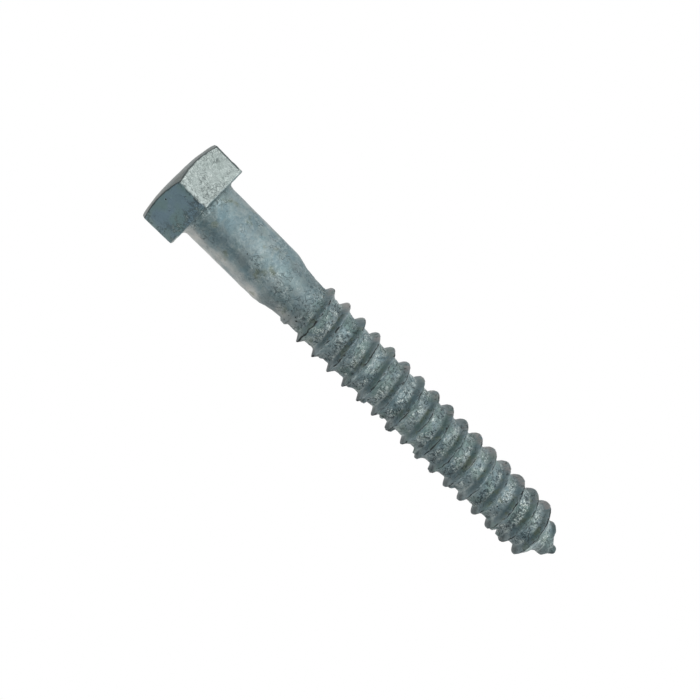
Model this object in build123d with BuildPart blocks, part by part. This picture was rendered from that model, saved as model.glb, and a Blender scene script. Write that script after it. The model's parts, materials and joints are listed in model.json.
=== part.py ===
# A hot-dip galvanised hex lag screw, 1/2 in x 4 in with 6 right-hand threads to the inch.
# Sizes are in millimetres and degrees.
#
# The screw is built upright on its own axis: z = 0 is the bearing face under the head, the
# point is toward +Z and the normal of one hex flat is +X. The last block lays it down as it
# comes to rest, on the edge of a hex flat and the last full thread crest, point toward +X.
import os
from math import atan2, ceil, cos, degrees, floor, radians, sin, sqrt, tan

from build123d import *

# head
head_flats = 19.0          # across the flats
head_height = 8.15
hex_corner_r = 0.35        # rounding of the six upright corners
crown_flat_d = 10.0        # flat disc in the middle of the crown
crown_r = 48.0             # ball that the crown is cut to round that disc
chamfer_d = 18.2           # where the chamfer on the hex corners begins
chamfer_angle = 34.0       # between the chamfer and the crown's flat disc
under_head_cone = 0.7      # 45 degree cone between the bearing face and the shank

# rod
length = 100.2             # bearing face to the end of the point
shank_d = 12.3
shank_length = 18.9
taper_length = 3.5         # from the shank down to the neck
shoulder_r = 3.0           # rounding where the taper leaves the shank
neck_d = 10.44
neck_length = 2.1
root_step = 0.5            # length of the step from the neck down to the root

# thread
pitch = 25.4 / 6
root_d = 9.95
crest_d = 12.8
crest_width = 0.53
flank_angle = 30.0         # between a flank and a section square to the rod
crest_mark = 33.306        # a crest crosses the +X side of the rod at this height
runout_length = 3.7        # the crests rise to full height over this length

# point
root_cone_angle = 28.5     # half angle of the cone that the root closes in on
root_nose_r = 1.15         # ball at the end of that cone
crest_cone_angle = 36.2    # half angle of the cone that the crests close in on
crest_nose_r = 2.75        # ball at the end of that cone

shank_r, neck_r, root_r, crest_r = shank_d / 2, neck_d / 2, root_d / 2, crest_d / 2
crown_flat_r, chamfer_r = crown_flat_d / 2, chamfer_d / 2
neck_start = shank_length + taper_length
thread_start = neck_start + neck_length
margin = 2.0               # how far a cutting shape reaches past what it cuts


def cone_to_nose(radius, half_angle, nose_r):
    """Cone from radius to a ball at the end of the rod: where it starts, and where the two meet."""
    angle = radians(half_angle)
    start = length - (radius - nose_r * (1 / cos(angle) - tan(angle))) / tan(angle)
    return start, (nose_r * cos(angle), length - nose_r + nose_r * sin(angle))


root_cone_start, root_nose_join = cone_to_nose(root_r, root_cone_angle, root_nose_r)
crest_cone_start, crest_nose_join = cone_to_nose(crest_r, crest_cone_angle, crest_nose_r)

# head and rod, forged as one blank
with BuildPart() as blank:
    with BuildSketch() as hexagon:
        RegularPolygon(head_flats / 2, 6, major_radius=False, rotation=30)
        fillet(hexagon.vertices(), hex_corner_r)
    extrude(amount=-head_height)

    crown_reach = head_flats / 2 / cos(radians(30)) + margin
    chamfer_top = sqrt(crown_r**2 - crown_flat_r**2) - sqrt(crown_r**2 - chamfer_r**2) - head_height
    chamfer_foot = chamfer_top + (crown_reach - chamfer_r) * tan(radians(chamfer_angle))
    with BuildSketch(Plane.XZ) as crown:
        with BuildLine():
            Polyline((crown_flat_r, -head_height), (0, -head_height), (0, margin),
                     (crown_reach, margin), (crown_reach, chamfer_foot), (chamfer_r, chamfer_top))
            RadiusArc((crown_flat_r, -head_height), (chamfer_r, chamfer_top), -crown_r)
        make_face()
    revolve(axis=Axis.Z, mode=Mode.INTERSECT)

    with BuildSketch(Plane.XZ) as rod:
        with BuildLine():
            Polyline((0, length), (0, 0), (shank_r + under_head_cone, 0),
                     (shank_r, under_head_cone), (shank_r, shank_length), (neck_r, neck_start),
                     (neck_r, thread_start - root_step / 2),
                     (root_r, thread_start + root_step / 2), (root_r, root_cone_start),
                     root_nose_join)
            RadiusArc(root_nose_join, (0, length), -root_nose_r)
        make_face()
        fillet(rod.vertices().sort_by_distance((shank_r, shank_length))[0], shoulder_r)
    revolve(axis=Axis.Z)

thread_depth = crest_r - root_r
flank_slope = tan(radians(flank_angle))
sunk = 0.15                        # the ridge reaches this far into what carries it


def ridge_section(cone_slope):
    """Section of the thread ridge on a root that falls away toward the point by cone_slope.

    x is the height above the root, and y runs along the rod toward the head."""
    head_side = crest_width / 2 + (thread_depth + sunk) * flank_slope
    fall = head_side * cone_slope / (1 - flank_slope * cone_slope)
    point_side = head_side + fall * flank_slope
    with BuildSketch() as section:
        with BuildLine():
            Polyline((-sunk, head_side), (thread_depth, crest_width / 2),
                     (thread_depth, -crest_width / 2), (-sunk - fall, -point_side), close=True)
        make_face()
    return section.sketch


# one turn of the ridge round the parallel part of the rod
with BuildPart() as one_turn:
    with BuildLine() as turn_helix:
        Helix(pitch, pitch, root_r)
    with BuildSketch(Plane(turn_helix.line @ 0, x_dir=(1, 0, 0), z_dir=(0, 1, 0))):
        add(ridge_section(0))
    sweep(is_frenet=True)

# the ridge round the point: a helix that closes in on the cone and keeps its pitch along the axis,
# up to the ball or to where the foot of its section would reach the axis
point_section = ridge_section(tan(radians(root_cone_angle)))
axis_gap = 0.1
last_helix_r = max(root_nose_join[0], axis_gap - point_section.bounding_box().min.X)
point_helix_height = (root_r - last_helix_r) / tan(radians(root_cone_angle))
with BuildPart() as point_ridge:
    with BuildLine() as point_helix:
        Helix(pitch / cos(radians(root_cone_angle)), point_helix_height, root_r,
              center=(0, 0, root_cone_start), cone_angle=-root_cone_angle)
    with BuildSketch(Plane(point_helix.line @ 0, x_dir=(1, 0, 0), z_dir=(0, 1, 0))):
        add(point_section)
    sweep(is_frenet=True)

# the whole ridge, from under the neck to the end of the point, cut to what its crests reach
turns = ceil((root_cone_start - neck_start) / pitch)
ridge_start = root_cone_start - turns * pitch
runout_rise = (crest_r - neck_r) / runout_length
with BuildPart() as ridge:
    with Locations([(0, 0, ridge_start + turn * pitch) for turn in range(turns)]):
        add(one_turn)
    add(point_ridge)
    with BuildSketch(Plane.XZ) as crest_reach:
        with BuildLine():
            Polyline((0, length), (0, ridge_start - pitch), (neck_r - sunk, ridge_start - pitch),
                     (neck_r - sunk, thread_start - sunk / runout_rise),
                     (crest_r + margin, thread_start + (crest_r + margin - neck_r) / runout_rise),
                     (crest_r + margin, crest_cone_start - margin / tan(radians(crest_cone_angle))),
                     crest_nose_join)
            RadiusArc(crest_nose_join, (0, length), -crest_nose_r)
        make_face()
    revolve(axis=Axis.Z, mode=Mode.INTERSECT)

# the ridge is turned so that a crest crosses +X at crest_mark
with BuildPart() as upright_screw:
    add(blank)
    add(ridge, rotation=(0, 0, 360 * (root_cone_start - crest_mark) / pitch))

# laid down, the lowest flat's under-head edge and the last full crest on that side touch the floor
full_turns = floor((crest_cone_start - crest_mark) / pitch - 0.5)
last_crest = crest_mark + pitch * (full_turns + 0.5) + crest_width / 2
tilt = atan2(head_flats / 2 - crest_r, last_crest)
crown_end = head_height * cos(tilt) + crown_flat_r * sin(tilt)
point_end = (length - root_nose_r) * cos(tilt) + root_nose_r
rest = Plane(origin=((crown_end - point_end) / 2, 0, head_flats / 2 * cos(tilt)),
             x_dir=(sin(tilt), 0, cos(tilt)), z_dir=(cos(tilt), 0, -sin(tilt)))
with BuildPart(rest) as lag_screw:
    add(upright_screw)
lag_screw.part.label = "lag_screw"

os.makedirs("parts", exist_ok=True)
export_step(lag_screw.part, "parts/lag_screw.step")

print(f"tilt {degrees(tilt):.3f} degrees, volume {lag_screw.part.volume:.1f} mm3")
print(lag_screw.part.bounding_box())
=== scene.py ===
import json
from math import cos, radians, sin, tan
from types import SimpleNamespace

import bpy
import numpy as np
from mathutils import Matrix, Vector


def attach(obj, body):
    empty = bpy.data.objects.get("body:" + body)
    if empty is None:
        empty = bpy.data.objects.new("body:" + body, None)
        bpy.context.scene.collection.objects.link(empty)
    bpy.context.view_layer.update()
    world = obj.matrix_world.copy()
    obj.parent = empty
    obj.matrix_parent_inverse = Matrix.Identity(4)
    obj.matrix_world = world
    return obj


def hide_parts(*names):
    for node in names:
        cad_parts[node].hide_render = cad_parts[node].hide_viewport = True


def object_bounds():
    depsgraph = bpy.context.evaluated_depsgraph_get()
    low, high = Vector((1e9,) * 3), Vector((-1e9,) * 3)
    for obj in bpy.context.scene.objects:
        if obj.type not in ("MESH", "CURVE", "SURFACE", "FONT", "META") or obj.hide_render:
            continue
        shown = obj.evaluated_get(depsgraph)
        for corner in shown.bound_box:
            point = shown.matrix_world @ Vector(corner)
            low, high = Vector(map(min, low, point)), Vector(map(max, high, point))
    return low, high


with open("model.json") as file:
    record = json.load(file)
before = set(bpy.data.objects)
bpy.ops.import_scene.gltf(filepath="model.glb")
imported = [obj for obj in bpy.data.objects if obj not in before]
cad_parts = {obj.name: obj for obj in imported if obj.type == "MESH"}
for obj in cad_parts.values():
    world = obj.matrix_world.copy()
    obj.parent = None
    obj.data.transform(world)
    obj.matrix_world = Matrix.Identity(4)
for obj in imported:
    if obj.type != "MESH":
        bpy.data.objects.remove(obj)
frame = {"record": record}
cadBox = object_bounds()
mm = 0.001
print("stage 1: packed model loaded")

# The screw's own frame comes from the record: x up, y toward the camera's side, z along the
# axis with z = 0 on the bearing face.
mounts = {mount["name"]: mount for mount in frame["record"]["mounts"]}
axis = np.array(mounts["shank"]["axis"])
axis = axis / np.linalg.norm(axis)
shankPoint = np.array(mounts["shank"]["pos_m"])
bearingPoint = np.array(mounts["bearing_face"]["pos_m"])
origin = shankPoint + axis * np.dot(bearingPoint - shankPoint, axis)
upward = np.array([0.0, 0.0, 1.0]) - axis * axis[2]
upward = upward / np.linalg.norm(upward)
sideways = np.cross(axis, upward)


def toWorld(x, y, z):
    # place = origin + x upward + y sideways + z axis, millimetres to metres
    local = np.stack([x, y, z], axis=-1) * mm
    return origin + local @ np.array([upward, sideways, axis])


def latticeNoise(points, cell, seed):
    # Value noise: random values on a cubic lattice, blended between the eight corners with a
    # fifth-power fade. Answers between -1 and 1.
    side = 64
    table = np.random.default_rng(seed).uniform(-1, 1, (side, side, side))
    spot = points / cell + 200.0  # moved well above zero
    corner = np.floor(spot).astype(int)
    f = spot - corner
    f = f * f * f * (f * (f * 6 - 15) + 10)
    total = 0.0
    for step in np.ndindex(2, 2, 2):
        share = np.prod(np.where(step, f, 1 - f), axis=-1)
        x, y, z = np.moveaxis((corner + step) % side, -1, 0)
        total = total + share * table[x, y, z]
    return total


def layeredNoise(points, cell, seed, layers=3):
    # Sum of lattice noises, each on half the cell and half the weight of the last.
    total, weight = 0.0, 1.0
    for layer in range(layers):
        total = total + weight * latticeNoise(points, cell / 2 ** layer, seed + layer)
        weight = weight / 2
    return total / (2 - 2 * weight)


def ramp(value, low, high):
    # Smooth step from 0 at low to 1 at high.
    t = np.clip((value - low) / (high - low), 0, 1)
    return t * t * (3 - 2 * t)


def softMax(a, b, width):
    # The larger of two, with the corner between them rounded: half of a + b + root of
    # (a - b)^2 + width^2.
    return (a + b + np.sqrt((a - b) ** 2 + width ** 2)) / 2


def softMin(a, b, width):
    # The smaller of two, rounded in the same way.
    return (a + b - np.sqrt((a - b) ** 2 + width ** 2)) / 2


screw = {
    "columns": 200, "shankStep": 0.29, "threadStep": 0.245, "pointStep": 0.19,  # mesh grid
    "cornerCrowd": 0.66, "crestCrowd": 0.34,  # how far it gathers at the corners and the crests
    "headFlats": 19.0, "headCorner": 10.9, "headHeight": 8.15,
    "cornerRound": 0.45, "edgeRound": 0.24, "underHeadRound": 0.9,
    "crownFlatRadius": 5.0, "crownBall": 48.0, "chamferRadius": 9.1, "chamferAngle": 26.5,
    "chamferSoft": 0.12,
    "crownLean": 0.15, "crownLeanToward": 120.0,  # the crown stands higher toward one side
    "length": 100.2, "shankRadius": 6.15, "shankLength": 18.9, "taperLength": 3.5,
    "neckRadius": 5.22, "neckLength": 2.1, "shoulderBlend": 1.1, "rootStep": 0.6,
    "pitch": 25.4 / 6, "rootRadius": 4.975, "crestRadius": 6.4, "crestRound": 0.22,
    "flankAngle": 30.0, "crestMark": 33.306,
    "runoutStart": 25.2, "runoutLength": 2.9, "runoutBlend": 0.35,
    "headSideBlend": 0.14, "pointSideBlend": 0.30,  # fillets at the foot of the ridge
    "rootConeAngle": 28.5, "rootNose": 1.15, "crestConeAngle": 36.2, "crestNose": 2.75,
    "lastRidgeShift": 0.55, "lastRidgeAt": 92.6, "lastRidgeSpan": 1.9,
    "crestEnd": 95.6, "crestFall": 2.0, "crestFallLength": 2.2,  # the ridge dies away
    # zinc that hangs on one side of the point
    "pointFill": 0.78, "pointFillToward": 105.0, "pointFillOver": (95.9, 98.6),
    # the small nub it ends in, which starts and blends later on that side
    "nubRadius": 1.02, "nubStart": 97.2, "nubLater": 0.9, "nubBlend": 0.8, "nubBlendLater": 0.3,
    "skin": 0.02,  # room left on the rod for the zinc
}


def hexRadius(angle, flats, corner):
    # Polar radius of a hexagon whose flats face 0, 60, 120 ... degrees: a / cos on the flats,
    # and an arc of radius corner round each corner.
    a = flats / 2
    fromFlat = np.mod(angle + radians(30), radians(60)) - radians(30)
    arcCentre = (a - corner) / cos(radians(30))
    fromCorner = radians(30) - np.abs(fromFlat)
    arc = arcCentre * np.cos(fromCorner) + np.sqrt(
        np.maximum(corner ** 2 - (arcCentre * np.sin(fromCorner)) ** 2, 0))
    onArc = np.abs(fromFlat) > np.arctan((a - corner) * tan(radians(30)) / a)
    return np.where(onArc, arc, a / np.cos(fromFlat))


def ballDrop(r):
    # The ball round the flat disc of the crown: sqrt(ball^2 - disc^2) - sqrt(ball^2 - r^2).
    ball, disc = screw["crownBall"], screw["crownFlatRadius"]
    return np.sqrt(ball ** 2 - disc ** 2) - np.sqrt(ball ** 2 - np.maximum(r, disc) ** 2)


def crownDrop(r):
    # Drop below the middle of the crown: the ball, and past it the chamfer on the corners.
    start = screw["chamferRadius"]
    chamfer = ballDrop(start) + (r - start) * tan(radians(screw["chamferAngle"]))
    return softMax(ballDrop(r), chamfer, screw["chamferSoft"])


def turnedCorner(r, z, inward, outward, radius, steps):
    # Arc that rounds the corner (r, z) between two unit directions: it starts one tangent
    # length before the corner and turns through the angle between them.
    turn = np.arccos(np.clip(inward[0] * outward[0] + inward[1] * outward[1], -1, 1))
    reach = radius * np.tan(turn / 2)
    normal = [(outward[k] - inward[k] * np.cos(turn)) / np.sin(turn) for k in (0, 1)]
    t = np.linspace(0, 1, steps)[:, None] * turn
    arcR = r - reach * inward[0] + radius * (np.sin(t) * inward[0] + (1 - np.cos(t)) * normal[0])
    arcZ = z - reach * inward[1] + radius * (np.sin(t) * inward[1] + (1 - np.cos(t)) * normal[1])
    return arcR, arcZ


def between(start, end, steps):
    # Straight rows from start to end, ends left out.
    t = np.linspace(0, 1, steps + 2)[1:-1, None]
    return start + (end - start) * t


def crownShares():
    # How far out each row of the crown lies, 0 to 1: closer together toward the edge.
    wide, close = np.linspace(0, 0.82, 13)[1:], np.linspace(0.82, 1, 11)[1:-1]
    return np.concatenate([wide, close])[:, None]


def headRows(angle):
    # One profile per column: crown from the middle out, over the crown edge, down the side,
    # round the bearing edge, and in over the bearing face to the fillet under the head.
    side = hexRadius(angle, screw["headFlats"], screw["cornerRound"])
    lean = np.arctan((crownDrop(side) - crownDrop(side - 0.05)) / 0.05)
    tilt = screw["crownLean"] / screw["headCorner"]
    tilt = tilt * np.cos(angle - radians(screw["crownLeanToward"]))
    top = -screw["headHeight"]
    one, zero = np.ones_like(side), np.zeros_like(side)
    edgeZ = top + crownDrop(side) - tilt * side
    crownR, crownZ = turnedCorner(side, edgeZ, (np.cos(lean), np.sin(lean)), (zero, one),
                                  screw["edgeRound"], 5)
    lipR, lipZ = turnedCorner(side, zero, (zero, one), (-one, zero), screw["edgeRound"], 5)
    joinR = screw["shankRadius"] * one
    filletR, filletZ = turnedCorner(joinR, zero, (-one, zero), (zero, one),
                                    screw["underHeadRound"], 9)
    discR = crownR[0] * crownShares()
    sideZ = between(crownZ[-1], lipZ[0], 30)
    faceR = between(lipR[-1], filletR[0], 11)
    rows = [(discR, top + crownDrop(discR) - tilt * discR), (crownR, crownZ),
            (side * np.ones_like(sideZ), sideZ), (lipR, lipZ), (faceR, np.zeros_like(faceR)),
            (filletR, filletZ)]
    r, z = (np.concatenate([row[k] for row in rows]) for k in (0, 1))
    # millimetres from the edge of the crown, less than zero on the crown itself, or from the
    # edge of the bearing face where that one is nearer
    fromCrown = np.hypot(r - side, z - edgeZ)
    onCrown = np.arange(len(r))[:, None] < len(discR) + 2
    fromLip = np.hypot(r - side, z)
    return r, z, np.where(onCrown, -fromCrown, np.minimum(fromCrown, fromLip + 0.1))


def coneStart(radius, halfAngle, nose):
    # Where a cone of that half angle has to start so that it runs into a ball at the end.
    a = radians(halfAngle)
    return screw["length"] - (radius - nose * (1 / cos(a) - tan(a))) / tan(a)


def closingRadius(z, radius, halfAngle, nose):
    # Parallel, then the cone, then the ball at the end of the point.
    a = radians(halfAngle)
    start = coneStart(radius, halfAngle, nose)
    centre = screw["length"] - nose
    ball = np.sqrt(np.maximum(nose ** 2 - np.maximum(z - centre, 0) ** 2, 0))
    cone = radius - np.maximum(z - start, 0) * tan(a)
    return np.where(z > centre + nose * sin(a), ball, cone)


def pointRadius(z, angle):
    # The cone of the point with a lump of zinc on one side, and past its shoulder the nub,
    # which is a short pin with a ball on its end.
    s = screw
    close = closingRadius(z, s["rootRadius"], s["rootConeAngle"], s["rootNose"])
    oneSide = 0.5 + 0.5 * np.cos(angle - radians(s["pointFillToward"]))
    close = close + s["pointFill"] * oneSide * ramp(z, *s["pointFillOver"])
    ball = s["nubRadius"] ** 2 - np.maximum(z - s["length"] + s["nubRadius"], 0) ** 2
    nub = np.sqrt(np.maximum(ball, 0))
    shoulder = s["nubStart"] + s["nubLater"] * oneSide
    blended = shoulder + s["nubBlend"] + s["nubBlendLater"] * oneSide
    return close + (nub - close) * ramp(z, shoulder, blended)


def coreRadius(z, angle):
    # Shank, taper, neck and root as straight runs, averaged over a short window so that the
    # shoulders are soft, and then the point.
    s = screw
    neck = s["shankLength"] + s["taperLength"]
    thread = neck + s["neckLength"]
    places = [-50, s["shankLength"], neck, thread - s["rootStep"], thread + s["rootStep"], 500]
    radii = [s["shankRadius"], s["shankRadius"], s["neckRadius"], s["neckRadius"],
             s["rootRadius"], s["rootRadius"]]
    window = np.linspace(-1, 1, 9) * s["shoulderBlend"]
    rod = np.mean([np.interp(z + shift, places, radii) for shift in window], axis=0)
    onPoint = z > coneStart(s["rootRadius"], s["rootConeAngle"], s["rootNose"])
    return np.where(onPoint, pointRadius(z, angle), rod)


def crestReach(z):
    # The crests rise out of the root over the run-out and close in toward the point.
    s = screw
    rise = (z - s["runoutStart"]) / s["runoutLength"]
    rise = s["rootRadius"] + rise * (s["crestRadius"] - s["rootRadius"])
    close = closingRadius(z, s["crestRadius"], s["crestConeAngle"], s["crestNose"])
    return softMin(rise, close, s["runoutBlend"])


def fromCrest(z, angle):
    # Distance along the axis from the nearest crest of the right-hand helix. The last ridge
    # sits a little closer to the head than the rest.
    bell = np.exp(-((z - screw["lastRidgeAt"]) / screw["lastRidgeSpan"]) ** 2)
    stretched = z + screw["lastRidgeShift"] * bell
    turn = (stretched - screw["crestMark"]) / screw["pitch"] - angle / (2 * np.pi)
    return (turn - np.round(turn)) * screw["pitch"]


def ridgeHeight(offset):
    # Height of the ridge over the root: an arc on the crest, straight flanks below it.
    s = screw
    depth = s["crestRadius"] - s["rootRadius"]
    slope = 1 / tan(radians(s["flankAngle"]))
    a = np.abs(offset)
    arc = depth - s["crestRound"] + np.sqrt(np.maximum(s["crestRound"] ** 2 - a ** 2, 0))
    tangent = s["crestRound"] * cos(radians(s["flankAngle"]))
    tangentHeight = depth - s["crestRound"] * (1 - sin(radians(s["flankAngle"])))
    return np.where(a < tangent, arc, tangentHeight - (a - tangent) * slope)


def rodRadius(z, angle):
    # Core, or the ridge where it stands higher. The ridge hangs its section from how far the
    # crests reach at its own crest, and it dies away short of the end of the point.
    offset = fromCrest(z, angle)
    core = coreRadius(z, angle)
    end = screw["crestEnd"]
    fall = screw["crestFall"] * ramp(z - offset, end, end + screw["crestFallLength"])
    crest = crestReach(z - offset) - fall
    ridge = crest - (screw["crestRadius"] - screw["rootRadius"] - ridgeHeight(offset))
    wider = screw["pointSideBlend"] - screw["headSideBlend"]
    blend = screw["headSideBlend"] + wider * ramp(offset, 0.2, 0.9)
    return softMax(core, ridge, blend) - screw["skin"], core, offset


def rodPlaces():
    # Heights of the rod's rows: even on the shank, closer on the thread, closest on the point.
    s = screw
    threadFrom, pointFrom, noseFrom = 24.3, 92.0, 99.0
    shank = np.arange(s["underHeadRound"] + 0.25, threadFrom, s["shankStep"])
    thread = np.arange(threadFrom, pointFrom, s["threadStep"])
    point = np.arange(pointFrom, noseFrom, s["pointStep"])
    nose = s["length"] - 1.2 * (1 - np.sin(np.linspace(0.0, 1.44, 10)))
    return np.concatenate([shank, thread, point, nose])


def buildGrid():
    # Whole screw as one grid of rows along the profile and columns round it. On the head the
    # columns crowd toward the hex corners, on the thread the rows crowd toward the crests.
    count = screw["columns"]
    column = np.arange(count) * 2 * np.pi / count
    crowded = column - screw["cornerCrowd"] / 6 * np.sin(6 * (column - radians(30)))
    headR, headZ, headEdge = headRows(crowded)
    places = rodPlaces()[:, None]
    rodAngle = crowded + (column - crowded) * ramp(places, 1.0, 7.0)
    onThread = ramp(places, 25.0, 29.0) * (1 - ramp(places, 93.0, 97.0))
    pull = screw["crestCrowd"] * screw["pitch"] / (2 * np.pi) * onThread
    wave = 2 * np.pi * ((places - screw["crestMark"]) / screw["pitch"]) - rodAngle
    rodZ = places - pull * np.sin(wave)
    rodR, core, offset = rodRadius(rodZ, rodAngle)
    angle = np.concatenate([np.broadcast_to(crowded, headR.shape), rodAngle])
    r = np.concatenate([headR, rodR])
    z = np.concatenate([headZ, rodZ])
    onRod = np.concatenate([np.zeros_like(headR), np.ones_like(rodR)])
    core = np.concatenate([headR, core])
    offset = np.concatenate([np.full_like(headR, screw["pitch"] / 2), offset])
    edge = np.concatenate([headEdge, np.full_like(rodR, 5.0)])
    return r, angle, z, core, offset, onRod, edge


def roundTheAxis(r, angle, z):
    # x = r cos angle, y = r sin angle, z as it is.
    return np.stack([r * np.cos(angle), r * np.sin(angle), z], axis=-1)


def gridNormals(points):
    # Cross product of the steps along the columns and along the rows, pointing outward.
    along = np.gradient(points, axis=0)
    around = np.roll(points, -1, axis=1) - np.roll(points, 1, axis=1)
    normal = np.cross(around, along)
    length = np.linalg.norm(normal, axis=-1, keepdims=True)
    return normal / np.maximum(length, 1e-12)


zinc = {
    "seed": 11,
    "waves": 0.030, "waveSize": 3.0,          # slow swells all over
    "lumps": 0.105, "lumpSize": 0.95,         # lumps of zinc in the roots and on the flats
    "grit": 0.055, "gritSize": 0.46,
    "cornerFill": 0.16,                       # zinc left in the corner on the point side of a ridge
    # how rough each region is, 0 to 1
    "thread": 0.95, "headFlankLess": 0.80, "pointFlankLess": 0.45,
    "shank": 0.22, "shankPatches": 0.40, "nearTaper": 0.10,
    "head": 0.16, "upperFlat": 0.24, "nearBearing": 0.55, "nearCorner": 0.55,
    # runs of zinc that set on the underside: place along the axis, degrees round from the top,
    # half length along the axis, half width in degrees, radius that they reach
    "runs": [(25.75, 108, 1.0, 34, 5.55), (43.75, 112, 0.70, 22, 5.50), (44.6, 112, 0.6, 20, 5.22),
             (48.05, 112, 0.62, 24, 5.80), (53.25, 110, 0.52, 18, 5.45), (55.85, 112, 1.00, 26, 6.25),
             (63.45, 112, 0.60, 22, 5.85), (68.35, 112, 0.90, 24, 6.18), (73.75, 112, 0.65, 20, 5.62),
             (86.45, 114, 0.65, 22, 5.90), (88.45, 112, 0.75, 24, 5.95), (36.0, 118, 0.6, 18, 5.35),
             (30.9, 150, 0.7, 26, 5.6), (59.6, 205, 0.8, 24, 5.6), (78.3, 165, 0.7, 22, 5.7)],
    # pits: place along the axis, degrees round from the top, radius
    "pits": [(38.7, -10, 0.20), (49.35, -32, 0.20), (50.1, -24, 0.15), (27.25, 74, 0.22),
             (95.4, -42, 0.26), (-6.35, 56, 0.17), (11.2, 38, 0.11), (60.6, 62, 0.13),
             (9.4, -18, 0.10), (74.9, 12, 0.15), (82.4, 48, 0.14), (66.2, 30, 0.12),
             (25.0, 62, 0.12), (25.3, 76, 0.11), (25.2, 92, 0.14), (26.4, 66, 0.12)],
}


def patches(points, offset, onRod):
    # How rough each place is, 0 to 1: roots and the upper flat most, the flank of a ridge that
    # faces the head least.
    x, y, z = np.moveaxis(points, -1, 0)
    broad = layeredNoise(points, 5.0, zinc["seed"] + 40)
    headFlank = ramp(offset, -1.15, -0.85) * (1 - ramp(offset, -0.25, 0.15))
    pointFlank = ramp(offset, -0.25, 0.15) * (1 - ramp(offset, 0.8, 1.2))
    onThread = (zinc["thread"] - zinc["headFlankLess"] * headFlank
                - zinc["pointFlankLess"] * pointFlank)
    onShank = zinc["shank"] + zinc["shankPatches"] * ramp(broad, 0.0, 0.5)
    onShank = onShank + zinc["nearTaper"] * ramp(z, 16.0, 20.0)
    upperFlat = ramp(x, 8.9, 9.35)
    towardBearing = ramp(z + 1.5 * broad, -3.4, -1.4)
    onHead = zinc["head"] + zinc["upperFlat"] * upperFlat
    onHead = onHead + zinc["nearBearing"] * towardBearing * (1 - 0.7 * upperFlat)
    # the corner between the two flats is ragged
    fromCorner = (x - 9.45) ** 2 + (y - 5.35) ** 2
    onHead = onHead + zinc["nearCorner"] * np.exp(-fromCorner / 0.30 ** 2) * ramp(-z, 0.2, 0.6)
    thread = ramp(z, 24.3, 27.5)
    rod = onShank * (1 - thread) + onThread * thread
    return np.clip(np.where(onRod > 0.5, rod, onHead), 0, 1.1)


def zincRelief(local, rough, offset, onRod):
    # Slow swells + rounded lumps + grit + the fill in the corners, in millimetres off the steel.
    seed = zinc["seed"]
    relief = zinc["waves"] * layeredNoise(local, zinc["waveSize"], seed, 2)
    lump = layeredNoise(local, zinc["lumpSize"], seed + 10, 2)
    relief = relief + zinc["lumps"] * rough * (np.abs(lump) ** 0.8 * np.sign(lump) * 1.3 - 0.15)
    relief = relief + zinc["grit"] * rough * latticeNoise(local, zinc["gritSize"], seed + 20)
    corner = np.exp(-((offset - 1.0) / 0.38) ** 2) * ramp(local[..., 2], 27, 30) * (onRod > 0.5)
    return relief + zinc["cornerFill"] * corner * (0.6 + latticeNoise(local, 1.3, seed + 30))


def aroundFrom(angle, degrees):
    # Degrees from a line along the rod, between -180 and 180.
    return np.mod(np.degrees(angle) - degrees + 180, 360) - 180


def withRuns(r, angle, z, core, onRod):
    # A run is a flat-topped hump: it falls away over the outer part of its length and width.
    # None of them stands past the crests.
    for place, degrees, halfLength, halfWidth, reach in zinc["runs"]:
        lengthwise = ramp(1 - np.abs(z - place) / halfLength, 0, 0.55)
        around = ramp(1 - np.abs(aroundFrom(angle, degrees)) / halfWidth, 0, 0.7)
        share = lengthwise * around * (onRod > 0.5)
        hump = core + (reach - core) * share
        r = np.where(share > 0.02, softMax(r, hump, 0.10 * share), r)
    return np.where(onRod > 0.5, np.minimum(r, screw["crestRadius"] + 0.05), r)


r, angle, z, core, offset, onRod, edge = buildGrid()
local = roundTheAxis(r, angle, z)
rough = patches(local, offset, onRod)
relief = zincRelief(local, rough, offset, onRod)
local = roundTheAxis(withRuns(r, angle, z, core, onRod), angle, z)
local = local + gridNormals(local) * relief[..., None]
print("stage 2: surface worked out,", local.shape[0], "rows by", local.shape[1], "columns")


def closedFaces(rows, columns):
    # Quads between neighbouring rows and columns, and a fan of triangles to each pole. Answers
    # the corners of all faces in a row, and how many corners each face has.
    number = np.arange(rows * columns).reshape(rows, columns)
    right = np.roll(number, -1, axis=1)
    quads = np.stack([number[:-1], right[:-1], right[1:], number[1:]], axis=-1).reshape(-1, 4)
    first, last = rows * columns, rows * columns + 1
    capOne = np.stack([np.full(columns, first), right[0], number[0]], axis=-1)
    capTwo = np.stack([np.full(columns, last), number[-1], right[-1]], axis=-1)
    loops = np.concatenate([quads.ravel(), capOne.ravel(), capTwo.ravel()])
    return loops, np.concatenate([np.full(len(quads), 4), np.full(2 * columns, 3)])


def closedMesh(name, grid, firstPole, lastPole, layers):
    # One closed skin over a grid and its two poles, with its layers kept as attributes.
    points = np.concatenate([grid.reshape(-1, 3), firstPole[None], lastPole[None]])
    loops, sizes = closedFaces(*grid.shape[:2])
    mesh = bpy.data.meshes.new(name)
    mesh.vertices.add(len(points))
    mesh.vertices.foreach_set("co", points.astype(np.float32).ravel())
    starts = np.concatenate([[0], np.cumsum(sizes)[:-1]])
    mesh.loops.add(len(loops))
    mesh.loops.foreach_set("vertex_index", loops.astype(np.int32))
    mesh.polygons.add(len(sizes))
    mesh.polygons.foreach_set("loop_start", starts.astype(np.int32))
    mesh.polygons.foreach_set("use_smooth", np.ones(len(sizes), dtype=bool))
    for layer, values in layers.items():
        attribute = mesh.attributes.new(layer, "FLOAT", "POINT")
        whole = np.concatenate([values.ravel(), values[0].mean()[None], values[-1].mean()[None]])
        attribute.data.foreach_set("value", whole.astype(np.float32))
    mesh.update(calc_edges=True)
    mesh.validate()
    piece = bpy.data.objects.new(name, mesh)
    bpy.context.scene.collection.objects.link(piece)
    return piece


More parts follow.
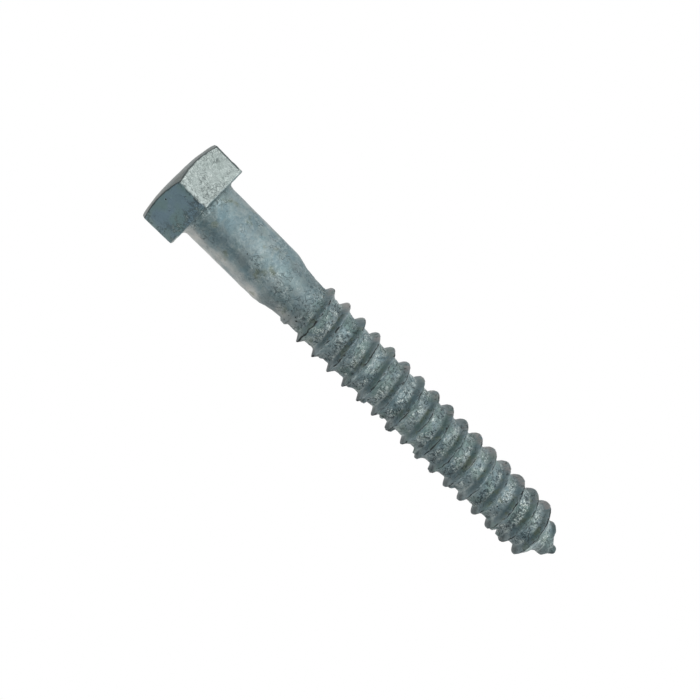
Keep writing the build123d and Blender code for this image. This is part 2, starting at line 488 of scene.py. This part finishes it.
inset = 0.00001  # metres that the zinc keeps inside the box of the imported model
low, high = np.array(cadBox[0]) + inset, np.array(cadBox[1]) - inset
placed = np.clip(toWorld(local[..., 0], local[..., 1], local[..., 2]), low, high)
crownPole = placed[0].mean(axis=0)
tipPole = np.clip(toWorld(0.0, 0.0, screw["length"] - 0.01), low, high)
screwPiece = closedMesh("zincScrew", placed, crownPole, tipPole,
                        {"relief": relief, "rough": rough, "edge": edge,
                         "offset": np.where(onRod > 0.5, offset, 2.0)})
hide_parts("lag_screw")
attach(screwPiece, "root")
print("stage 3: screw built,", len(screwPiece.data.polygons), "faces")


def nearestPoint(place, degrees):
    # The point of the surface that lies nearest to a place along the axis and an angle round it.
    away = (z - place) ** 2 + (core * np.radians(aroundFrom(angle, degrees))) ** 2
    return placed.reshape(-1, 3)[np.argmin(away)]


class Wire:
    # A socket that does sums: each operator adds one Math node.
    def __init__(self, graph, socket):
        self.graph, self.socket = graph, socket

    def sum(self, operation, first, second, clamp=False):
        return self.graph.node("ShaderNodeMath", {"operation": operation, "use_clamp": clamp},
                               {0: first, 1: second})

    def __add__(self, other):
        return self.sum("ADD", self, other)

    def __radd__(self, other):
        return self.sum("ADD", other, self)

    def __sub__(self, other):
        return self.sum("SUBTRACT", self, other)

    def __rsub__(self, other):
        return self.sum("SUBTRACT", other, self)

    def __mul__(self, other):
        return self.sum("MULTIPLY", self, other)

    def __rmul__(self, other):
        return self.sum("MULTIPLY", other, self)

    def clamped(self):
        return self.sum("ADD", self, 0.0, True)

    def abs(self):
        return self.sum("ABSOLUTE", self, 0.0)

    def max(self, other):
        return self.sum("MAXIMUM", self, other)


class Graph:
    # Adds nodes to one material or world.
    def __init__(self, owner):
        owner.use_nodes = True
        self.tree = owner.node_tree
        self.tree.nodes.clear()

    def node(self, kind, settings=None, inputs=None, out=0):
        # type, then its settings, then the values or wires of its sockets by name or number
        made = self.tree.nodes.new(kind)
        for name, value in (settings or {}).items():
            setattr(made, name, value)
        for name, value in (inputs or {}).items():
            if isinstance(value, Wire):
                self.tree.links.new(value.socket, made.inputs[name])
            elif value is not None:
                made.inputs[name].default_value = value
        return Wire(self, made.outputs[out]) if made.outputs else None

    def mix(self, share, first, second):
        # colours by share: factor is socket 0, colours are sockets 6 and 7 of the Mix node
        first = first if isinstance(first, Wire) else (*first, 1)
        second = second if isinstance(second, Wire) else (*second, 1)
        return self.node("ShaderNodeMix", {"data_type": "RGBA"}, {0: share, 6: first, 7: second}, 2)

    def vector(self, operation, first, second, out=0):
        return self.node("ShaderNodeVectorMath", {"operation": operation}, {0: first, 1: second}, out)

    def step(self, value, low, high):
        # smooth step of a value, 0 at low and 1 at high
        return self.node("ShaderNodeMapRange", {"interpolation_type": "SMOOTHSTEP"},
                         {"Value": value, "From Min": low, "From Max": high})

    def line(self, value, inner, outer):
        # 1 where a value is within inner of zero, fading to 0 at outer
        return 1 - self.step(value.abs(), inner, outer)

    def noise(self, place, scale, detail, rough, swirl):
        return self.node("ShaderNodeTexNoise", {"noise_dimensions": "3D"},
                         {"Vector": place, "Scale": scale, "Detail": detail, "Roughness": rough,
                          "Distortion": swirl})

    def attribute(self, name):
        return self.node("ShaderNodeAttribute", {"attribute_name": name}, out=2)

    def surface(self, shader, kind="Material"):
        self.node("ShaderNodeOutput" + kind, None, {"Surface": shader})


coat = {
    "slate": (0.158, 0.237, 0.262),       # smooth blue-grey zinc
    "stone": (0.238, 0.290, 0.286),       # and greyer clouds in it
    "headSlate": (0.196, 0.290, 0.350), "headGreen": (0.192, 0.294, 0.296),   # the flats of the head
    "ash": (0.268, 0.345, 0.357),         # ordinary dull zinc
    "bare": (0.270, 0.320, 0.305),        # the upper flat between its flecks
    "pale": (0.550, 0.625, 0.603), "glintColour": (0.72, 0.79, 0.75),   # dry whitish flecks, and the colour of painted glints
    "floorBounce": (0.55, 0.552, 0.525),         # painted bounce light from the floor, low on the shank: paler and less blue
    "shade": (0.070, 0.105, 0.108),       # painted shade and grime between the threads, a painted shadow under the head, darker teeth and point
    "crease": (0.026, 0.040, 0.043),      # painted shade in creases, hollows and along the edges of the head, and dark specks
    "pit": (0.004, 0.005, 0.006),
    "olive": (0.150, 0.180, 0.115), "brown": (0.365, 0.338, 0.325), "crown": (0.158, 0.172, 0.160),
    "moss": (0.150, 0.235, 0.195), "algae": (0.175, 0.205, 0.125),
    "metallic": 0.35, "smoothMetallic": 0.62, "roughness": 0.44,
    # shares of painted shade and grime, and of plain darkening, by region
    "threadShadeAndGrime": 0.16, "neckShadeAndGrime": 0.38, "underHeadShadow": 0.65, "lowerToothDark": 0.80,
    "farCrestDark": 0.40, "pointDark": 0.58, "nubDark": 0.40, "headBlotch": 0.65,
    # fine relief, metres
    "mottleHeight": 0.00005, "grainHeight": 0.00010, "speckHeight": 0.00003,
    "wrinkleDepth": 0.00004, "edgeLineDepth": 0.00006, "pitDepth": 0.00020, "pitRagged": 0.00025,
    # noises: scale for a metre, detail, roughness, swirl
    "noises": {
        "cloud": (160.0, 2.0, 0.5, 0.0), "wrinklePlace": (190.0, 1.0, 0.5, 0.0),
        "blush": (240.0, 2.0, 0.5, 0.0), "mossPlace": (280.0, 2.0, 0.5, 0.5),
        "lapPlace": (300.0, 1.0, 0.5, 0.0), "stain": (330.0, 2.0, 0.5, 0.0),
        "stonePlace": (420.0, 3.0, 0.65, 0.7), "mottle": (700.0, 3.0, 0.6, 0.0),
        "wrinkleLine": (900.0, 1.0, 0.5, 0.6), "grain": (1700.0, 2.0, 0.6, 0.9),
        "dabPlace": (2300.0, 1.0, 0.5, 1.8), "streakLine": (2700.0, 1.0, 0.5, 1.4),
        "speck": (4200.0, 1.0, 0.5, 0.5),
    },
}


def finishFields(g):
    # What the layers of the finish share: place in millimetres from the middle of the bearing
    # face, the layers kept in the mesh, the noises, and masks from 0 to 1 by region.
    place = g.node("ShaderNodeTexCoord", out=3)
    noises = {name: g.noise(place, *sizes) for name, sizes in coat["noises"].items()}
    kept = {name: g.attribute(name) for name in ("relief", "rough", "offset", "edge")}
    f = SimpleNamespace(place=place, **noises, **kept)
    away = g.vector("SUBTRACT", place, tuple(origin))
    f.along, f.height, f.across = (
        g.vector("DOT_PRODUCT", away, tuple(way), 1) * 1000.0 for way in (axis, upward, sideways))
    f.onHead = 1 - g.step(f.along, -0.3, 0.0)
    f.onThread = g.step(f.along, 24.5, 29.0)
    f.neck = g.step(f.along, 17.5, 20.5) * (1 - f.onThread) * 0.9
    f.upperFlat = g.step(f.height, 9.18, 9.40) * f.onHead
    f.onCrown = (1 - g.step(f.edge, -0.16, -0.02)) * f.onHead
    f.sideFlats = f.onHead * (1 - f.upperFlat) * (1 - f.onCrown)
    nearBearing = g.step(f.along + (f.mottle - 0.5) * 7.0, -3.3, -1.7)
    f.toward = nearBearing.max(g.step(f.height + (f.mottle - 0.5) * 7.0, 2.6, 1.0))
    f.headFlank = g.step(f.offset, -1.05, -0.85) * (1 - g.step(f.offset, -0.05, 0.10)) * f.onThread
    f.farCrest = g.line(f.offset, 0.5, 1.0) * f.onThread * g.step(f.across, -1.6, -3.4)
    f.teeth = g.line(f.offset, 0.6, 1.1) * f.onThread * g.step(f.height, 0.6, -1.0)
    # spots of painted glint on the tops of the lumps
    f.dab = g.step(f.dabPlace, 0.58, 0.67)
    f.cluster = g.step(f.stain * 0.6 + f.mottle * 0.4, 0.47, 0.56)
    return f


def plainZinc(g, f):
    # Clouds of slate and ash, with patches of stone off the head.
    tone = f.mottle * 0.30 + f.grain * 0.30 + f.cloud * 0.40 + (f.rough - 0.5) * 0.06
    dry = g.step(tone - f.onHead * 0.05 + f.upperFlat * 0.08, 0.43, 0.60)
    colour = g.mix(dry, coat["slate"], coat["ash"])
    dull = g.step(f.stonePlace, 0.47, 0.60) * (1 - f.onHead)
    return g.mix(dull * 0.45, colour, coat["stone"])


def headZinc(g, f, colour):
    # The upper flat is streaked and flecked, with painted glints that gather toward its edges. The
    # others are smooth.
    streak = g.step(f.streakLine * 0.6 + f.grain * 0.25 + f.cloud * 0.15, 0.41, 0.60)
    streak = 0.50 + (streak - 0.50) * (0.40 + 0.75 * g.step(f.stain, 0.42, 0.58))
    colour = g.mix(f.upperFlat, colour, g.mix(0.06 + 0.82 * streak, coat["bare"], coat["pale"]))
    # painted glints on the upper flat, more of them near its edges
    brink = (1 - g.step(f.edge, 0.3, 1.3)) * 0.5
    colour = g.mix((f.dab * f.upperFlat * (0.70 + brink)).clamped(), colour, coat["glintColour"])
    headTone = g.mix(g.step(f.stain, 0.42, 0.60), coat["headSlate"], coat["headGreen"])
    return g.mix(f.sideFlats * 0.80, colour, headTone)


def paintedFloorBounce(g, f, colour):
    # Painted bounce light from the floor: low on the near side paler and less blue, most on the
    # shank.
    below = g.step(f.height, 2.8, 0.2) * g.step(f.height, -5.0, -1.5)
    below = below * (1 - f.onHead * 0.85) * (1 - f.onThread * 0.80)
    below = below * (0.32 + 0.75 * g.step(f.stain * 0.6 + f.cloud * 0.4, 0.38, 0.58))
    return g.mix((below * 0.85).clamped(), colour, coat["floorBounce"])


def tinted(g, f, colour):
    # Olive in the lower places of the relief.
    olive = g.step(f.stain, 0.60, 0.70) * (1 - g.step(f.relief, -0.02, 0.05))
    colour = g.mix((olive * (0.6 - f.onHead * 0.45)).clamped(), colour, coat["olive"])
    # brown on the far side, on the crests most
    farSide = g.step(f.across, -3.2, -5.4) * (1 - f.onHead) * (1 - f.onThread)
    brown = f.farCrest * (0.25 + f.grain * 0.9) + farSide * 0.35 + 0.08 * (1 - f.onHead)
    brown = brown * g.step(f.blush * 0.8 + f.grain * 0.2, 0.44, 0.56)
    colour = g.mix(brown.clamped(), colour, coat["brown"])
    # moss green, on the thread most
    moss = g.step(f.mossPlace, 0.48, 0.62) * (0.10 + f.onThread * 0.35)
    colour = g.mix(moss.clamped(), colour, coat["moss"])
    # algae in a band along the near flanks that face the head
    algae = f.headFlank * g.step(f.height, 2.6, 3.8) * (1 - g.step(f.height, 5.4, 6.0))
    algae = algae * g.step(f.mottle * 0.6 + f.blush * 0.4, 0.50, 0.58) * g.step(f.across, -1.5, 0.5)
    colour = g.mix(algae * 0.60, colour, coat["algae"])
    # the crown is browner than the flats, and painted darker for the shade it sits in, turned from
    # the lamp
    crown = 0.58 + 0.36 * g.step(f.mottle * 0.4 + f.grain * 0.3 + f.stain * 0.3, 0.42, 0.56)
    return g.mix(f.onCrown * crown, colour, coat["crown"])


def paintedShadeAndGrime(g, f, colour):
    # Painted shade and grime on thread and neck, painted shadow under the head, darker teeth, far
    # crests and point.
    # painted shadow of the head on the shank just under it
    underHead = (1 - g.step(f.along, 0.1, 1.1)) * (1 - f.onHead) * g.step(f.height, 1.0, 4.0)
    darkCrest = f.farCrest * (1 - g.step(f.blush, 0.40, 0.50))
    # the thread and the neck carry painted shade as well as grime; on the neck it damps the lamp's
    # gleam
    grimeAndShade = f.onThread * coat["threadShadeAndGrime"] + f.neck * coat["neckShadeAndGrime"]
    grimeAndShade = grimeAndShade + underHead * coat["underHeadShadow"] + f.teeth * coat["lowerToothDark"]
    grimeAndShade = grimeAndShade + darkCrest * coat["farCrestDark"] + g.step(f.along, 97.4, 98.8) * coat["nubDark"]
    grimeAndShade = grimeAndShade + g.step(f.along, 95.0, 96.6) * coat["pointDark"]
    colour = g.mix(grimeAndShade.clamped(), colour, coat["shade"])
    # blotches on the head toward its bearing face and low down
    blotch = f.toward * f.sideFlats * g.step(f.mottle * 0.5 + f.grain * 0.5, 0.47, 0.53)
    return g.mix((blotch * coat["headBlotch"]).clamped(), colour, coat["shade"])


def fleckShare(g, f):
    # Whitish flecks in clusters where it is rough, a pale rim at the foot of a ridge, and painted
    # glints with pale flecks along the ragged corner between the two near flats.
    fleck = g.step(f.grain * 0.55 + f.speck * 0.45 + (f.mottle - 0.5) * 0.30, 0.555, 0.610) * f.rough
    fleck = fleck * (1 - f.sideFlats * (0.85 - f.toward * 0.70)) * (0.75 + 0.25 * f.onThread)
    fleck = fleck * (0.15 + 0.85 * f.cluster)
    rim = g.line(f.offset + 1.12 + (f.grain - 0.5) * 0.4, 0.05, 0.24) * g.step(f.height, 5.6, 3.6)
    rim = rim * g.step(f.blush * 0.5 + f.mottle * 0.5, 0.45, 0.55) * f.onThread
    # painted glints and pale flecks along the corner between the upper and the lower near flat
    ragged = g.line(f.height - 9.45, 0.06, 0.22) * g.step(f.across, 4.2, 5.0) * f.onHead
    ragged = ragged * g.step(f.grain * 0.7 + f.mottle * 0.3, 0.44, 0.54)
    return (fleck.max(rim * 0.50) * 0.95).max(ragged).clamped()


def crestShadeShare(g, f):
    # Painted shade along the point side of each crest, where the crest hides its flank, and in the
    # crevice beside the last ridge.
    crestShade = g.line(f.offset - 0.12 + (f.mottle - 0.5) * 1.1, 0.07, 0.24) * f.onThread
    crestShade = crestShade * g.step(f.lapPlace * 0.6 + f.grain * 0.4, 0.44, 0.52)
    crestShade = crestShade * (1 - g.step(f.along, 96.0, 96.8))
    lastRidge = g.step(f.along, 92.6, 93.4) * (1 - g.step(f.along, 95.8, 96.4))
    crevice = g.line(f.offset - 0.45 + (f.mottle - 0.5) * 0.8, 0.10, 0.30) * lastRidge
    return crestShade.max(crevice * g.step(f.height, 3.2, 4.2) * g.step(f.grain, 0.36, 0.46))


def wrinkleShare(g, f):
    # Short thin wrinkles, in patches.
    wrinkle = g.line(f.wrinkleLine - 0.5, 0.006, 0.030) * (1 - f.onCrown * 0.7)
    return wrinkle * g.step(f.wrinklePlace + f.onThread * 0.11 + f.neck * 0.06, 0.50, 0.60)


def edgeShadeShare(g, f):
    # Painted shade along the two edges of the head, its far corner, and under its near corner.
    edgeShade = g.line(f.edge + 0.05 + (f.mottle - 0.5) * 0.5, 0.07, 0.28)
    farCorner = g.line(f.across + 5.35, 0.14, 0.36) * g.step(f.height, 8.9, 9.3)
    edgeShade = (edgeShade + farCorner * (1 - f.onCrown)).clamped() * f.onHead * g.step(f.stain, 0.28, 0.42)
    under = g.line(f.height - 9.06, 0.06, 0.24) * g.step(f.across, 5.0, 5.4) * f.onHead
    return edgeShade.max(under * g.step(f.mottle, 0.42, 0.54) * 0.7)


def dirtAndShadeShare(g, f, wrinkle, edgeShade):
    # Painted shade in the hollows of the relief and along the head's edges, with wrinkles, dark
    # specks where it is rough, and the lower teeth.
    # painted shade in the hollows of the relief
    hollow = 1 - g.step(f.relief, -0.15, -0.06)
    speckled = f.grain * 0.5 + f.speck * 0.5 + (f.cloud - 0.5) * 0.3 - f.onThread * 0.012
    dark = (1 - g.step(speckled, 0.37, 0.44)) * f.rough * (0.95 - f.upperFlat * 0.50)
    dirtAndShade = (hollow * 0.75).max(wrinkle * (0.55 + 0.17 * f.onThread)).max(edgeShade * 0.80)
    return dirtAndShade.max(dark).max(f.teeth * coat["lowerToothDark"] * 0.30)


def pitShare(g, f, crestShade):
    # The painted shade along the crests, and a ragged black dot at each pit.
    pit = crestShade
    for place, degrees, radius in zinc["pits"]:
        away = g.vector("DISTANCE", f.place, tuple(nearestPoint(place, degrees)), 1)
        away = away + (f.grain - 0.5) * coat["pitRagged"]
        pit = pit.max(1 - g.step(away, 0.6 * radius * mm, 1.25 * radius * mm))
    return pit


def zincMaterial():
    # Colour from the plain zinc outward to the dirt and painted shade, then metal, gloss and fine
    # relief.
    material = bpy.data.materials.new("hotDipZinc")
    g = Graph(material)
    f = finishFields(g)
    fleck, crestShade = fleckShare(g, f), crestShadeShare(g, f)
    wrinkle, edgeShade = wrinkleShare(g, f), edgeShadeShare(g, f)
    dirtAndShade, pit = dirtAndShadeShare(g, f, wrinkle, edgeShade), pitShare(g, f, crestShade)

    colour = paintedFloorBounce(g, f, headZinc(g, f, plainZinc(g, f)))
    colour = paintedShadeAndGrime(g, f, tinted(g, f, colour))
    colour = g.mix(fleck, colour, coat["pale"])
    # painted glints on the rough roots of the thread
    rootGlints = f.dab * f.cluster * f.rough * (f.onThread + f.neck * 0.3) * (1 - f.headFlank)
    colour = g.mix(rootGlints.clamped(), colour, coat["glintColour"])
    colour = g.mix(dirtAndShade.clamped(), colour, coat["crease"])
    colour = g.mix(pit * 0.95, colour, coat["pit"])

    gloss = coat["roughness"] + f.rough * 0.14 + f.neck * 0.10 + (f.grain - 0.5) * 0.25
    gloss = (gloss + dirtAndShade * 0.2 + pit * 0.4).clamped()
    smooth = (1 - f.onThread) * (1 - f.neck) * (1 - f.upperFlat)
    metal = coat["metallic"] + smooth * (coat["smoothMetallic"] - coat["metallic"])
    metal = (metal - dirtAndShade * 0.2 - pit * 0.5 - fleck * 0.1).clamped()
    fine = (f.grain * coat["grainHeight"] + f.speck * coat["speckHeight"]) * (f.rough + 0.15)
    fine = fine + f.mottle * coat["mottleHeight"] - wrinkle * coat["wrinkleDepth"]
    fine = fine - edgeShade * coat["edgeLineDepth"] - (pit - crestShade).max(0.0) * coat["pitDepth"]
    bump = g.node("ShaderNodeBump", None, {"Strength": 1.0, "Distance": 1.0, "Height": fine})
    g.surface(g.node("ShaderNodeBsdfPrincipled", None, {
        "Base Color": colour, "Metallic": metal, "Roughness": gloss, "Normal": bump}))
    return material


screwPiece.data.materials.append(zincMaterial())
print("stage 4: zinc finish made")


studio = {
    "floorSize": 1.6, "floorColour": (0.88, 0.88, 0.87),
    "whiteShare": 1.0,                    # how much of the floor's own shade the camera is spared
    "sky": 0.45, "skyColour": (0.93, 0.97, 1.0),
    "key": {"power": 4.3, "size": 0.60, "place": (0.45, 0.04, 0.65), "aimAlong": 45.0},
    # a dark card behind the camera keeps light off the side that faces the viewer
    "card": {"y": -0.42, "wide": 1.2, "bottom": 0.01, "top": 0.30, "colour": (0.20, 0.20, 0.20)},
}


def seesWhite(g):
    # 1 for camera, glossy and transmission rays, 0 for the light that falls on the screw
    camera, glossy, through = (g.node("ShaderNodeLightPath", out=socket) for socket in (0, 3, 6))
    return camera.max(glossy).max(through)


def matte(g, colour):
    return g.node("ShaderNodeBsdfDiffuse", None, {"Color": (*colour, 1)})


def floorMaterial():
    # Matte to the light, plain white to the camera and in reflections.
    material = bpy.data.materials.new("paleTable")
    g = Graph(material)
    white = g.node("ShaderNodeEmission", None, {"Color": (1, 1, 1, 1), "Strength": 1.0})
    share = seesWhite(g) * studio["whiteShare"]
    g.surface(g.node("ShaderNodeMixShader", None,
                     {0: share, 1: matte(g, studio["floorColour"]), 2: white}))
    return material


def cardMaterial():
    material = bpy.data.materials.new("darkFelt")
    g = Graph(material)
    g.surface(matte(g, studio["card"]["colour"]))
    return material


def flatSheet(name, corners, material):
    # One face between four corners.
    mesh = bpy.data.meshes.new(name)
    mesh.from_pydata(corners, [], [(0, 1, 2, 3)])
    mesh.materials.append(material)
    sheet = bpy.data.objects.new(name, mesh)
    bpy.context.scene.collection.objects.link(sheet)
    return sheet


def paleRoom():
    # A faint sky for the light, plain white to the camera and in reflections.
    world = bpy.data.worlds.new("paleRoom")
    bpy.context.scene.world = world
    g = Graph(world)
    kind = "ShaderNodeBackground"
    sky = g.node(kind, None, {"Color": (*studio["skyColour"], 1), "Strength": studio["sky"]})
    white = g.node(kind, None, {"Color": (1, 1, 1, 1), "Strength": 1.0})
    g.surface(g.node("ShaderNodeMixShader", None, {0: seesWhite(g), 1: sky, 2: white}), "World")


def softLamp(name, power, size, place, target):
    # A square lamp turned to face its target.
    lamp = bpy.data.lights.new(name, "AREA")
    lamp.energy, lamp.size = power, size
    piece = bpy.data.objects.new(name, lamp)
    piece.location = place
    aim = Vector(target) - Vector(place)
    piece.rotation_euler = aim.to_track_quat("-Z", "Y").to_euler()
    bpy.context.scene.collection.objects.link(piece)


half = studio["floorSize"] / 2
floorCorners = [(-half, -half, 0), (half, -half, 0), (half, half, 0), (-half, half, 0)]
floor = flatSheet("paleTable", floorCorners, floorMaterial())

card = studio["card"]
half, y, bottom, top = card["wide"] / 2, card["y"], card["bottom"], card["top"]
cardCorners = [(-half, y, bottom), (half, y, bottom), (half, y, top), (-half, y, top)]
cardPiece = flatSheet("darkCard", cardCorners, cardMaterial())
cardPiece.visible_camera = False

paleRoom()
key = studio["key"]
softLamp("key", key["power"], key["size"], key["place"], tuple(toWorld(0.0, 0.0, key["aimAlong"])))

# The camera looks down on the screw from the head's side, turned so that the screw runs from
# the upper left to the lower right. Millimetres and degrees, but for clipStart in metres.
shot = {"lens": 54.98, "sensor": 36.0, "clipStart": 0.01, "lookAt": 32.6, "distance": 210.3,
        "tipAway": 10.7, "roll": 44.7, "leanToSide": 30.0, "shiftAlong": 6.53, "shiftUp": -0.05}


def placeCamera():
    lean, away, roll = (radians(shot[k]) for k in ("leanToSide", "tipAway", "roll"))
    toCamera = cos(lean) * upward + sin(lean) * sideways
    up = sin(lean) * upward - cos(lean) * sideways
    right = cos(away) * axis + sin(away) * toCamera
    forward = sin(away) * axis - cos(away) * toCamera
    spot = toWorld(0.0, 0.0, shot["lookAt"]) + mm * (
        shot["shiftAlong"] * right + shot["shiftUp"] * up - shot["distance"] * forward)
    imageRight = cos(roll) * right + sin(roll) * up
    imageUp = -sin(roll) * right + cos(roll) * up
    lens = bpy.data.cameras.new("camera")
    lens.lens, lens.sensor_width, lens.clip_start = shot["lens"], shot["sensor"], shot["clipStart"]
    piece = bpy.data.objects.new("camera", lens)
    turned = Matrix([imageRight, imageUp, -forward]).transposed()
    piece.matrix_world = Matrix.Translation(Vector(spot)) @ turned.to_4x4()
    bpy.context.scene.collection.objects.link(piece)
    bpy.context.scene.camera = piece


placeCamera()
bpy.context.scene.view_settings.view_transform = "Standard"
print("stage 5: floor, light and camera set")

bpy.context.view_layer.update()
